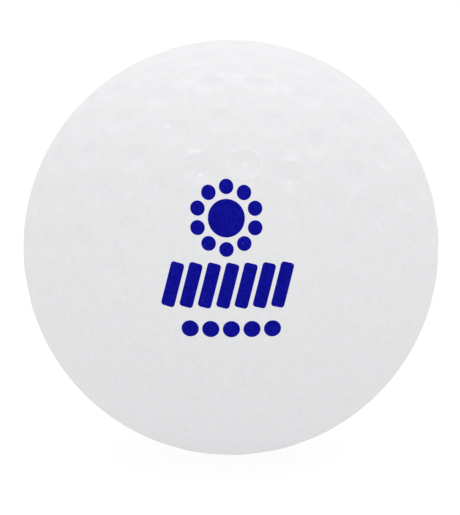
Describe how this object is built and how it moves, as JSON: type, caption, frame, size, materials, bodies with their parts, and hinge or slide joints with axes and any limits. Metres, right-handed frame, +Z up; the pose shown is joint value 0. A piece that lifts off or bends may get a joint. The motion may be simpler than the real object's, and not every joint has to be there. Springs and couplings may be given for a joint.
{
  "type": "field hockey ball",
  "caption": "Solid moulded ball with rings of shallow round dimples about two opposite poles, and a smooth round patch at each pole.",
  "frame": {"origin": "centre of the ball", "axes": "Y through both poles, with the front pole's smooth patch facing -Y; +Z up; the moulding's parting circle lies in the XZ plane"},
  "size_m": [0.073, 0.073, 0.073],
  "materials": {
    "white_skin": "glossy white moulded plastic",
    "blue_print": "blue printing ink, a little uneven"
  },
  "bodies": {
    "root": {"ball": "white_skin"}
  },
  "joints": []
}
